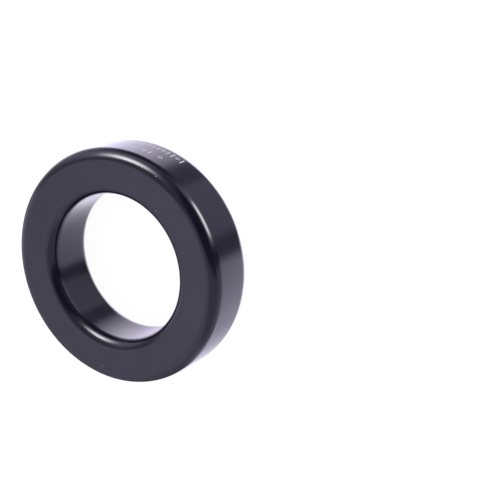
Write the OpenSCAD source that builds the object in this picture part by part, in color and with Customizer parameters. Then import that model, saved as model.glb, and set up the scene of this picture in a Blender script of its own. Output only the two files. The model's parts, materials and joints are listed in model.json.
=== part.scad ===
// Ferrite toroid core: one sintered ring with a plain bore, flat faces and rounded edges,
// coated all over in black epoxy. It lies flat, with its back face on z = 0 and its axis
// along +Z. All sizes are over the coat, in millimetres.

/* [Ring] */
// Outer diameter over the coat
outer_d = 57.6; // [48:0.1:70]
// Bore diameter, clear through the coated ring
bore_d = 35.7; // [28:0.1:40]
// Height from face to face, along the axis
height = 14.7; // [10:0.1:22]

/* [Edges] */
// Rounding where the faces meet the outer wall
outer_edge_r = 2.8; // [0.5:0.1:4]
// Rounding where the faces turn into the bore
bore_edge_r = 2.7; // [0.5:0.1:4]

/* [Hidden] */
outer_r = outer_d / 2;
bore_r = bore_d / 2;
ring_w = outer_r - bore_r;             // radial width of the section
land = 0.2;                            // least flat left on any side of the section
edge_max = (min(ring_w, height) - land) / 2;
outer_round = min(outer_edge_r, edge_max);
bore_round = min(bore_edge_r, edge_max);
flat_in = bore_r + bore_round;         // where the flat faces begin, from the axis
flat_out = outer_r - outer_round;      // and where they end
$fn = 192;

// A strip of the section from radius x0 to x1, stopping short of both faces by gap
module strip(x0, x1, gap) {
    translate([x0, gap])
        square([x1 - x0, height - 2 * gap]);
}

// The two round corners of one side of the section, centred at radius x
module corner_pair(x, r) {
    for (z = [r, height - r])
        translate([x, z])
            circle(r = r);
}

// Half section of the ring: flat faces between four round corners, straight walls beside them
module ring_section() {
    strip(flat_in, flat_out, 0);
    strip(bore_r, flat_in, bore_round);
    strip(flat_out, outer_r, outer_round);
    corner_pair(flat_in, bore_round);
    corner_pair(flat_out, outer_round);
}

module toroid_core() {
    color("#2b2a33")
        rotate_extrude()
            ring_section();
}

toroid_core();
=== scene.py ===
import json
import math
import bmesh
import bpy
import numpy as np
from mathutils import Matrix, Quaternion, Vector


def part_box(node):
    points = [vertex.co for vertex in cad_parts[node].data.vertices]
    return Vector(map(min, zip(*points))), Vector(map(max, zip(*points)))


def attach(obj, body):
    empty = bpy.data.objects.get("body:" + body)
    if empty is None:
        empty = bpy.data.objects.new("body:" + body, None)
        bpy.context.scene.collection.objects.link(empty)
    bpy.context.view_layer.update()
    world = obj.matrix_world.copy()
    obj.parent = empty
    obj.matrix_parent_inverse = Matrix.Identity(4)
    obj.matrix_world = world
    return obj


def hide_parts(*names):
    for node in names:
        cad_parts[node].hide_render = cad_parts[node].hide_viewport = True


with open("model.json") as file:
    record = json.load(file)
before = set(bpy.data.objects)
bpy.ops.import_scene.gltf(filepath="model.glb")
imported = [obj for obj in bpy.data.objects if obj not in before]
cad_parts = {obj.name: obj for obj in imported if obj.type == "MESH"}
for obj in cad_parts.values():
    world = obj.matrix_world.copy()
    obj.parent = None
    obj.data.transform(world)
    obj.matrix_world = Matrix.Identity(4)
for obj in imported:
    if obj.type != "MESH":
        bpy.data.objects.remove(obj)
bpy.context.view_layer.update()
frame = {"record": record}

# Sizes of the ring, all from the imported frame, in metres.
mountDims = {mount["name"]: mount["dims"] for mount in frame["record"]["mounts"]}
lowCorner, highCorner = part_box("toroid_core")
ring = {
    "height": highCorner.z - lowCorner.z,
    "outerRadius": mountDims["outer_wall"]["r_mm"] / 1000,
    "boreRadius": mountDims["bore"]["r_mm"] / 1000,
}
ring["outerEdge"] = (ring["height"] - mountDims["outer_wall"]["length_mm"] / 1000) / 2
ring["boreEdge"] = (ring["height"] - mountDims["bore"]["length_mm"] / 1000) / 2
ringMiddle = Vector((0, 0, ring["height"] / 2))
mm = 0.001


# An sRGB hex colour as the linear red, green and blue that Blender works in.
def linearColour(hexColour):
    srgb = np.array([int(hexColour[k:k + 2], 16) for k in (1, 3, 5)]) / 255
    linear = np.where(srgb <= 0.04045, srgb / 12.92, ((srgb + 0.055) / 1.055) ** 2.4)
    return (*linear.tolist(), 1.0)


# Adds one node with its settings and links. An input goes by its name, or by i and its number where names
# repeat, and its value is a number, a colour or another node's socket.
def addNode(tree, kind, settings=None, **inputs):
    node = tree.nodes.new(kind)
    for name, value in (settings or {}).items():
        setattr(node, name, value)
    for name, value in inputs.items():
        numbered = name[0] == "i" and name[1:].isdigit()
        socket = node.inputs[int(name[1:]) if numbered else name]
        if isinstance(value, bpy.types.NodeSocket):
            tree.links.new(value, socket)
        else:
            socket.default_value = value
    return node


# Puts one grid of points (rows, columns, 3), or a stack of such grids, into a mesh. A closed direction joins
# its last line to its first. A glow is a brightness for each point, kept as an attribute.
def surfaceMesh(name, points, closedRows=False, closedColumns=False, glow=None):
    count = points[..., 0].size
    index = np.arange(count).reshape(-1, *points.shape[-3:-1])
    if closedRows:
        index = np.concatenate([index, index[:, :1]], 1)
    if closedColumns:
        index = np.concatenate([index, index[:, :, :1]], 2)
    quads = [index[:, :-1, :-1], index[:, :-1, 1:], index[:, 1:, 1:], index[:, 1:, :-1]]
    quads = np.stack(quads, -1).reshape(-1, 4)
    mesh = bpy.data.meshes.new(name)
    mesh.vertices.add(count)
    mesh.vertices.foreach_set("co", points.astype(np.float32).ravel())
    mesh.loops.add(quads.size)
    mesh.loops.foreach_set("vertex_index", quads.astype(np.int32).ravel())
    mesh.polygons.add(len(quads))
    mesh.polygons.foreach_set("loop_start", np.arange(0, quads.size, 4, dtype=np.int32))
    mesh.polygons.foreach_set("use_smooth", np.ones(len(quads), bool))
    mesh.update(calc_edges=True)
    mesh.validate()
    if glow is not None:
        level = mesh.attributes.new("glow", "FLOAT", "POINT")
        level.data.foreach_set("value", glow.astype(np.float32).ravel())
    piece = bpy.data.objects.new(name, mesh)
    bpy.context.scene.collection.objects.link(piece)
    return piece


# The camera keeps the photo's view of the ring: how high it looks down, how far off it stands, how it is
# rolled about its line of sight, and where in the 500 pixel frame the ring's middle falls.
view = {
    "frameSide": 500,
    "ringAt": (129.83, 261.68),
    "focalPixels": 1241.5,
    "elevation": 50.77,
    "distance": 300 * mm,
    "roll": -113.87,
    "sensor": 36.0,
    "clip": (0.01, 20),
}


# The camera first looks at the ring's middle, is then rolled, and is turned until the middle falls off centre
# where the photo has it.
def placeCamera():
    camera = bpy.data.cameras.new("studioCamera")
    camera.sensor_width = view["sensor"]
    camera.lens = view["focalPixels"] / view["frameSide"] * view["sensor"]
    camera.clip_start, camera.clip_end = view["clip"]
    holder = bpy.data.objects.new("studioCamera", camera)
    bpy.context.scene.collection.objects.link(holder)
    high = math.radians(view["elevation"])
    back = Vector((0, -math.cos(high), math.sin(high)))
    looking = (-back).to_track_quat("-Z", "Y")
    rolled = Quaternion((0, 0, 1), math.radians(view["roll"]))
    half = view["frameSide"] / 2
    towards = Vector((view["ringAt"][0] - half, half - view["ringAt"][1], -view["focalPixels"]))
    offCentre = Vector((0, 0, -1)).rotation_difference(towards)
    holder.rotation_mode = "QUATERNION"
    holder.rotation_quaternion = looking @ rolled @ offCentre.inverted()
    holder.location = ringMiddle + back * view["distance"]
    bpy.context.scene.camera = holder


placeCamera()
print("camera placed")


# How finely the coat is drawn: the places round the ring, and the steps in each round corner, along each flat
# face and along each wall. Its waves have a height, a shortest and longest length, a number and a seed.
coat = {
    "around": 560,
    "cornerSteps": 24,
    "sideSteps": {"face": 22, "wall": 14},
    "waveHeight": 0.05 * mm,
    "waveLengths": (6 * mm, 24 * mm),
    "waveCount": 16,
    "waveSeed": 11,
}


# The coat's section is a rectangle with round corners. Walking round it, each corner is centre + radius *
# (cos t, sin t) for a quarter turn, and each side is a straight run between two corners.
def coatSection():
    inner = ring["boreRadius"] + ring["boreEdge"]
    outer = ring["outerRadius"] - ring["outerEdge"]
    top = ring["height"]
    corners = [
        (outer, top - ring["outerEdge"], ring["outerEdge"], 90),
        (outer, ring["outerEdge"], ring["outerEdge"], 0),
        (inner, ring["boreEdge"], ring["boreEdge"], -90),
        (inner, top - ring["boreEdge"], ring["boreEdge"], -180),
    ]
    steps = [coat["sideSteps"][side] for side in ("wall", "face", "wall", "face")]
    arcs = []
    for x, z, radius, start in corners:
        turn = np.radians(np.linspace(start, start - 90, coat["cornerSteps"]))
        normal = np.stack([np.cos(turn), np.sin(turn)], -1)
        arcs.append((np.array([x, z]) + radius * normal, normal))
    points, normals = [], []
    for k, count in enumerate(steps):
        (arc, arcNormal), (nextArc, _) = arcs[k], arcs[(k + 1) % 4]
        share = np.linspace(0, 1, count + 2)[1:-1, None]
        points += [arc, arc[-1] + share * (nextArc[0] - arc[-1])]
        normals += [arcNormal, np.repeat(arcNormal[-1:], count, 0)]
    return np.concatenate(points), np.concatenate(normals)


# A slow waviness of the baked coat: a sum of cosines of the place in space, between -1 and 1.
def coatWaves(points):
    rng = np.random.default_rng(coat["waveSeed"])
    total = np.zeros(points.shape[:-1])
    weights = 0.0
    for _ in range(coat["waveCount"]):
        direction = rng.normal(size=3)
        direction /= np.linalg.norm(direction)
        length = rng.uniform(*coat["waveLengths"])
        phase = rng.uniform(0, 2 * math.pi)
        weight = length / coat["waveLengths"][1]
        total += weight * np.cos(2 * math.pi * (points @ direction) / length + phase)
        weights += weight
    return total / weights


# Places (r, z) of the section, with their normals, at the angles a about the axis: (r cos a, r sin a, z),
# pushed in along the normal by the waves, and then out by the rise.
def coatSurface(turn, section, normal, rise=0.0):
    flat = np.cos(turn)[..., None] * (1, 0, 0) + np.sin(turn)[..., None] * (0, 1, 0)
    points = section[..., :1] * flat + section[..., 1:] * (0, 0, 1)
    normals = normal[..., :1] * flat + normal[..., 1:] * (0, 0, 1)
    sink = coat["waveHeight"] * (1 + coatWaves(points)) / 2
    return points + normals * (rise - sink)[..., None]


# The coated ring: the whole section turned about Z.
def makeRing():
    section, normal = coatSection()
    turn = np.linspace(0, 2 * math.pi, coat["around"], endpoint=False)
    turn = np.repeat(turn[:, None], len(section), 1)
    points = coatSurface(turn, section + 0 * turn[..., None], normal + 0 * turn[..., None])
    return surfaceMesh("coated_ring", points, closedRows=True, closedColumns=True)


# The coat's finish: the size of its clouds of tint, of its patches of haze and of its orange peel, the
# peel's height, the two tints, the roughness where it is clearest and haziest, and its IOR, that of epoxy.
# Peel on so small a part is about 1 mm across. It is drawn at twice that, so that it shows at 4 pixels a mm.
epoxyLook = {
    "cloudSize": 9 * mm,
    "hazeSize": 4 * mm,
    "peelSize": 2.2 * mm,
    "peelHeight": 0.008 * mm,
    "tints": ("#040410", "#1a192a"),
    "roughness": (0.15, 0.21),
    "ior": 1.5,
}


# Black epoxy powder, sprayed on and baked: it flows out into a smooth, glossy skin with round edges and a
# fine orange peel. The eye gets near-black with a cool violet cast, and clear but slightly soft reflections.
def blackEpoxyPowderCoat():
    material = bpy.data.materials.new("blackEpoxyPowderCoat")
    material.use_nodes = True
    tree = material.node_tree
    shader = tree.nodes["Principled BSDF"]
    place = addNode(tree, "ShaderNodeTexCoord").outputs["Object"]
    clouds = addNode(tree, "ShaderNodeTexNoise", Vector=place, Scale=1 / epoxyLook["cloudSize"], Detail=3.0)
    tint = addNode(tree, "ShaderNodeMix", {"data_type": "RGBA"}, i0=clouds.outputs["Fac"],
                   i6=linearColour(epoxyLook["tints"][0]), i7=linearColour(epoxyLook["tints"][1]))
    tree.links.new(tint.outputs[2], shader.inputs["Base Color"])
    haze = addNode(tree, "ShaderNodeTexNoise", Vector=place, Scale=1 / epoxyLook["hazeSize"], Detail=1.0)
    clearest, haziest = epoxyLook["roughness"]
    polish = addNode(tree, "ShaderNodeMapRange", Value=haze.outputs["Fac"],
                     **{"To Min": clearest, "To Max": haziest})
    tree.links.new(polish.outputs[0], shader.inputs["Roughness"])
    peel = addNode(tree, "ShaderNodeTexNoise", Vector=place, Scale=1 / epoxyLook["peelSize"], Detail=1.0)
    bump = addNode(tree, "ShaderNodeBump", Strength=1.0, Distance=epoxyLook["peelHeight"],
                   Height=peel.outputs["Fac"])
    tree.links.new(bump.outputs["Normal"], shader.inputs["Normal"])
    shader.inputs["IOR"].default_value = epoxyLook["ior"]
    return material


core = makeRing()
core.data.materials.append(blackEpoxyPowderCoat())
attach(core, "root")
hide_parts("toroid_core")
print("coated ring made,", len(core.data.polygons), "faces")

# How the small round marks on the coat are made: the lines of a mark's grid, how far its rim is sunk in, how
# deep its underside goes below that, the step of the search for its place, and how near points are joined.
lens = {"steps": 7, "sink": 0.002 * mm, "depth": 0.004 * mm, "search": 0.02 * mm, "joinWithin": 0.00001 * mm}


# Each mark is a square grid (u, v) from -1 to 1 drawn in to a disc, u * sqrt(1 - v^2 / 2) by
# v * sqrt(1 - u^2 / 2), and laid on the coat round its middle: u runs round the ring and v along the section.
# At the share s of its radius its top stands rise * (1 - s^2)^2 above the rim, and its underside lies
# depth * (1 - s^2) below it. A mark is its azimuth in degrees and its radius, height, width and length in mm.
def coatLenses(name, marks, rise):
    azimuth, radius, height, wide, tall = np.array(marks, float).T[..., None, None]
    section, normal = (np.concatenate([line, line[:1]]) for line in coatSection())
    lengths = np.concatenate([[0], np.cumsum(np.linalg.norm(np.diff(section, axis=0), axis=1))])
    dense = np.arange(0, lengths[-1], lens["search"])
    nearby = np.stack([np.interp(dense, lengths, section[:, k]) for k in (0, 1)])
    away = np.hypot(nearby[0] - radius[..., 0] * mm, nearby[1] - height[..., 0] * mm)
    start = dense[away.argmin(1)][:, None, None]
    spread = np.linspace(-1, 1, lens["steps"])
    u, v = np.meshgrid(spread, spread, indexing="ij")
    discU, discV = u * np.sqrt(1 - v * v / 2), v * np.sqrt(1 - u * u / 2)
    turn = np.radians(azimuth) + discU * wide / 2 / radius
    run = (start + discV * tall / 2 * mm) % lengths[-1]
    place = np.stack([np.interp(run, lengths, section[:, k]) for k in (0, 1)], -1)
    out = np.stack([np.interp(run, lengths, normal[:, k]) for k in (0, 1)], -1)
    out /= np.linalg.norm(out, axis=-1, keepdims=True)
    share = discU ** 2 + discV ** 2
    top, under = rise * (1 - share) ** 2, -lens["depth"] * (1 - share)
    top, under = (coatSurface(turn, place, out, side - lens["sink"]) for side in (top, under))
    piece = surfaceMesh(name, np.concatenate([top, under[:, ::-1]]))
    closeRims(piece)
    return piece


# Joins the points that lie on each other, so that a top and its underside become one closed skin.
def closeRims(piece):
    skin = bmesh.new()
    skin.from_mesh(piece.data)
    bmesh.ops.remove_doubles(skin, verts=skin.verts, dist=lens["joinWithin"])
    skin.to_mesh(piece.data)
    skin.free()


# The ink-jet print on the outer wall, as plain shapes made of dots, with pitch, size and heights in mm. Each
# row has its first and last azimuth, its height on the wall and its shapes. A shape is a list of dots, each
# across and up, in steps of the dot pitch.
inkPrint = {
    "dotPitch": 0.42,
    "dotSize": 0.48,
    "dotRise": 0.015 * mm,
    "colour": "#c8c7d0",
    "roughness": 0.55,
    "shapes": {
        "diamond": [(-1, 0), (0, 1), (1, 0), (0, -1)],
        "stack": [(0, -1.5), (0, -0.5), (0, 0.5), (0, 1.5)],
        "bar": [(0, 0.7 * step) for step in (-3, -2, -1, 0, 1, 2, 3)],
        "gap": [],
    },
    "longRow": {"from": 329.3, "to": 304.4, "height": 4.3,
                "order": "diamond stack diamond diamond stack diamond stack bar diamond bar"},
    "shortRow": {"from": 329.3, "to": 311.6, "height": 8.4,
                 "order": "stack diamond gap diamond stack gap diamond"},
}


# The shapes of a row stand evenly between its ends. A dot's azimuth is its shape's plus across * pitch /
# radius, and its height is the row's plus up * pitch.
def makeInkDots():
    radius = ring["outerRadius"] / mm
    pitch, size = inkPrint["dotPitch"], inkPrint["dotSize"]
    marks = []
    for row in (inkPrint["longRow"], inkPrint["shortRow"]):
        order = row["order"].split()
        for azimuth, shape in zip(np.linspace(row["from"], row["to"], len(order)), order):
            for across, up in inkPrint["shapes"][shape]:
                turn = azimuth + math.degrees(across * pitch / radius)
                marks.append((turn, radius, row["height"] + up * pitch, size, size))
    return coatLenses("ink_dots", marks, inkPrint["dotRise"])


# White ink-jet ink, dried thin on the gloss coat: the eye gets small matt pale grey dots, with the black
# showing through them a little.
def whiteInk():
    material = bpy.data.materials.new("whiteInk")
    material.use_nodes = True
    shader = material.node_tree.nodes["Principled BSDF"]
    shader.inputs["Base Color"].default_value = linearColour(inkPrint["colour"])
    shader.inputs["Roughness"].default_value = inkPrint["roughness"]
    return material


inkDots = makeInkDots()
inkDots.data.materials.append(whiteInk())
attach(inkDots, "root")
print("ink dots made,", len(inkDots.data.polygons), "faces")

# Faults of the coat, as marks on it: a nib of powder that stuck up as it baked, pale flecks on the faces, and
# short scuffs where the front face turns into the bore.
coatFaults = {
    "nibs": [(303.5, 27.16, 14.45, 0.8, 0.9)],
    "nibRise": 0.05 * mm,
    "flecks": [
        (293.3, 20.58, 14.7, 0.45, 0.55),
        (144.3, 25.2, 14.7, 0.5, 0.4),
        (143.2, 25.9, 14.7, 0.3, 0.3),
    ],
    "scuffs": [
        (160.6, 18.35, 13.4, 0.2, 0.9),
        (157.1, 18.2, 13.2, 0.16, 0.7),
        (154.2, 18.15, 13.1, 0.16, 0.6),
    ],
    "fleckRise": 0.008 * mm,
    "fleckColour": "#5d5b68",
    "fleckRoughness": 0.6,
}


# Dust and rubbed epoxy: the eye gets dull grey spots on the gloss.
def rubbedEpoxy():
    material = bpy.data.materials.new("rubbedEpoxy")
    material.use_nodes = True
    shader = material.node_tree.nodes["Principled BSDF"]
    shader.inputs["Base Color"].default_value = linearColour(coatFaults["fleckColour"])
    shader.inputs["Roughness"].default_value = coatFaults["fleckRoughness"]
    return material


coatNib = coatLenses("coat_nib", coatFaults["nibs"], coatFaults["nibRise"])
coatNib.data.materials.append(core.data.materials[0])
coatFlecks = coatLenses("coat_flecks", coatFaults["flecks"] + coatFaults["scuffs"], coatFaults["fleckRise"])
coatFlecks.data.materials.append(rubbedEpoxy())
for piece in (coatNib, coatFlecks):
    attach(piece, "root")
print("coat faults made")


# White diffuser cloth lit from behind, as bright at each point as the mesh says. Only the coat's reflections
# see it. A sheer cloth adds its light to what shows through it.
def stageFabric(piece, name, hexColour, sheer=False):
    material = bpy.data.materials.new(name)
    material.use_nodes = True
    tree = material.node_tree
    tree.nodes.clear()
    level = addNode(tree, "ShaderNodeAttribute", {"attribute_name": "glow"})
    light = addNode(tree, "ShaderNodeEmission", Color=linearColour(hexColour), Strength=level.outputs["Fac"])
    if sheer:
        clear = addNode(tree, "ShaderNodeBsdfTransparent")
        light = addNode(tree, "ShaderNodeAddShader", i0=clear.outputs[0], i1=light.outputs[0])
    addNode(tree, "ShaderNodeOutputMaterial", Surface=light.outputs[0])
    piece.data.materials.append(material)
    piece.visible_camera = piece.visible_diffuse = False
    piece.visible_shadow = piece.visible_transmission = False


# The studio is a white light tent with darker or brighter windows. Each window is a soft-edged patch of
# directions seen from the ring: its middle's azimuth and elevation, half width and half height, and soft edge
# across and up, all in degrees, and its brightness. A later window lies over the earlier ones. The gain
# scales the base and all the windows together.
tent = {
    "radius": 0.6,
    "gridStep": 1.5,
    "rows": 181,
    "topRow": 89.9,
    "base": 1.12,
    "gain": 1.15,
    "colour": "#ebe5ff",
    "windows": {
        "wallLeft": {"at": (205, 20), "half": (30, 65), "soft": (14, 14), "glow": 0.66},
        "wallBack": {"at": (125, 4), "half": (42, 20), "soft": (20, 20), "glow": 0.6},
        "highBack": {"at": (98, 57), "half": (24, 6), "soft": (20, 8), "glow": 1.38},
        "backShade": {"at": (105, -22), "half": (52, 12), "soft": (16, 8), "glow": 0.08},
        "tableLeft": {"at": (212, -25), "half": (24, 18), "soft": (12, 12), "glow": 0.88},
        "wallRight": {"at": (20, 20), "half": (40, 66), "soft": (14, 14), "glow": 0.42},
        "tableRight": {"at": (40, -28), "half": (22, 18), "soft": (10, 10), "glow": 0.95},
        "cornerRight": {"at": (325, 20), "half": (22, 66), "soft": (10, 10), "glow": 0.4},
        "lowFront": {"at": (284, -45), "half": (27, 45), "soft": (8, 8), "glow": 0.59},
        "frontHalo": {"at": (281, -20), "half": (26, 24), "soft": (10, 10), "glow": 1.25},
        "keyHalo": {"at": (4, 24), "half": (34, 26), "soft": (18, 18), "glow": 1.2},
        "keySpill": {"at": (0, 16), "half": (10, 3), "soft": (22, 22), "glow": 2.6},
        "roof": {"at": (0, 90), "half": (180, 8), "soft": (26, 26), "glow": 0.55},
        "darkSide": {"at": (270, 44), "half": (38, 37), "soft": (10, 10), "glow": 0.0},
        "darkStrip": {"at": (247, -35), "half": (9, 65), "soft": (8, 6), "glow": 0.04},
        "darkStripLow": {"at": (248, -75), "half": (10, 31), "soft": (12, 8), "glow": 0.19},
        "lowShade": {"at": (328, -60), "half": (15, 30), "soft": (10, 6), "glow": 0.24},
        "lowRight": {"at": (34, -75), "half": (40, 28), "soft": (36, 6), "glow": 2.15},
        "lowBack": {"at": (136, -75), "half": (33, 28), "soft": (12, 8), "glow": 1.3},
        "lowGap": {"at": (94, -64), "half": (10, 22), "soft": (14, 8), "glow": 0.7},
        "lowLeft": {"at": (200, -78), "half": (31, 26), "soft": (8, 5), "glow": 1.75},
        "shadeRight": {"at": (342, -27), "half": (22, 18), "soft": (6, 6), "glow": 0.1},
    },
}


# The tent is a sphere round the ring, R (cos e cos a, cos e sin a, sin e) over azimuth a and elevation e. Its
# glow is blended window by window, each with a smoothstep of the distance past its edges.
def makeTent():
    azimuth = np.radians(np.arange(0, 360, tent["gridStep"]))
    elevation = np.radians(np.linspace(-tent["topRow"], tent["topRow"], tent["rows"]))
    a, e = np.meshgrid(azimuth, elevation)
    glow = np.full(a.shape, tent["base"])
    for window in tent["windows"].values():
        # Distances past the window's edges, across in azimuth and up in elevation.
        across = np.abs((np.degrees(a) - window["at"][0] + 180) % 360 - 180) - window["half"][0]
        upward = np.abs(np.degrees(e) - window["at"][1]) - window["half"][1]
        past = np.maximum(across / window["soft"][0], upward / window["soft"][1])
        past = np.clip(past + 0.5, 0, 1)
        inside = 1 - past * past * (3 - 2 * past)
        glow = glow + inside * (window["glow"] - glow)
    glow *= tent["gain"]
    directions = np.stack([np.cos(e) * np.cos(a), np.cos(e) * np.sin(a), np.sin(e)], -1)
    points = tent["radius"] * directions + np.array(ringMiddle)
    shell = surfaceMesh("light_tent", points, closedColumns=True, glow=glow)
    stageFabric(shell, "tentFabric", tent["colour"])


# Small lights near the ring: a wide softbox on the +X side, which draws the long streaks on both rounded
# edges, a strip low in front, which draws the short one on the outer edge, and the bright paper under the
# bore, which the bore's wall mirrors. Each has its azimuth, its reach out from the axis and its rise, its
# width and height, how far its top leans in and its roll, in degrees, its radiance and its fall.
lamps = {
    "steps": 41,
    "colour": "#fdfbff",
    "panels": {
        "key_softbox": {"azimuth": -7.8, "reach": 110 * mm, "rise": 90 * mm, "size": (112 * mm, 94 * mm),
                        "lean": 0, "roll": -22, "radiance": 21.5, "fall": (2.0, 1.6)},
        "rim_strip": {"azimuth": -83.5, "reach": 86.5 * mm, "rise": -4 * mm, "size": (41 * mm, 34 * mm),
                      "lean": -7, "roll": 0, "radiance": 17, "fall": (0.4, 1.0)},
        "bore_paper": {"azimuth": 68, "reach": 21 * mm, "rise": -15 * mm, "size": (26 * mm, 20 * mm),
                       "lean": 90, "roll": 0, "radiance": 0.85, "fall": (1.5, 1.5)},
    },
}


# Each light is a flat panel. Its sides run along the tangent, (-sin a, cos a, 0), and along cos(lean) * Z -
# sin(lean) * outward, both turned in its plane by the roll. At the shares u and v of its half width and half
# height its radiance is L * (1 - u^2)^p * (1 - v^2)^q, with p and q its fall.
def makeLamps():
    share = np.linspace(-1, 1, lamps["steps"])
    u, v = np.meshgrid(share, share, indexing="ij")
    for name, lamp in lamps["panels"].items():
        turn, lean, roll = np.radians([lamp["azimuth"], lamp["lean"], lamp["roll"]])
        outward, zAxis = np.array([np.cos(turn), np.sin(turn), 0]), np.array([0, 0, 1])
        tangent, rising = np.cross(zAxis, outward), np.cos(lean) * zAxis - np.sin(lean) * outward
        across = (np.cos(roll) * tangent + np.sin(roll) * rising) * lamp["size"][0] / 2
        upward = (np.cos(roll) * rising - np.sin(roll) * tangent) * lamp["size"][1] / 2
        place = lamp["reach"] * outward + lamp["rise"] * zAxis
        points = place + u[..., None] * across + v[..., None] * upward
        glow = lamp["radiance"] * (1 - u * u) ** lamp["fall"][0] * (1 - v * v) ** lamp["fall"][1]
        stageFabric(surfaceMesh(name, points, glow=glow), name + "_fabric", lamps["colour"], sheer=True)


# White paper floor, lit until it is nearly blown out, so that only a trace of the contact shadow is left.
floorLook = {"side": 6.0, "ownGlow": 0.93, "paper": "#606062"}


# The floor is one square at z = 0, half its side out from the axis each way. The coat doesn't mirror it.
def makeFloor():
    half = floorLook["side"] / 2
    points = np.array([[(-half, -half, 0), (half, -half, 0)], [(-half, half, 0), (half, half, 0)]], float)
    floor = surfaceMesh("paper_floor", points)
    material = bpy.data.materials.new("whitePaper")
    material.use_nodes = True
    shader = material.node_tree.nodes["Principled BSDF"]
    shader.inputs["Base Color"].default_value = linearColour(floorLook["paper"])
    shader.inputs["Roughness"].default_value = 1.0
    shader.inputs["Emission Color"].default_value = (1, 1, 1, 1)
    shader.inputs["Emission Strength"].default_value = floorLook["ownGlow"]
    floor.data.materials.append(material)
    floor.visible_glossy = floor.visible_shadow = False


# The world round the studio is plain white, and the picture shows its colours without a film look.
def lightStudio():
    scene = bpy.context.scene
    world = bpy.data.worlds.new("whiteStudio")
    world.use_nodes = True
    world.node_tree.nodes["Background"].inputs["Color"].default_value = (1, 1, 1, 1)
    world.node_tree.nodes["Background"].inputs["Strength"].default_value = 1.0
    scene.world = world
    scene.view_settings.view_transform = "Standard"
    scene.view_settings.look = "None"


makeTent()
makeLamps()
makeFloor()
lightStudio()
print("studio lit")
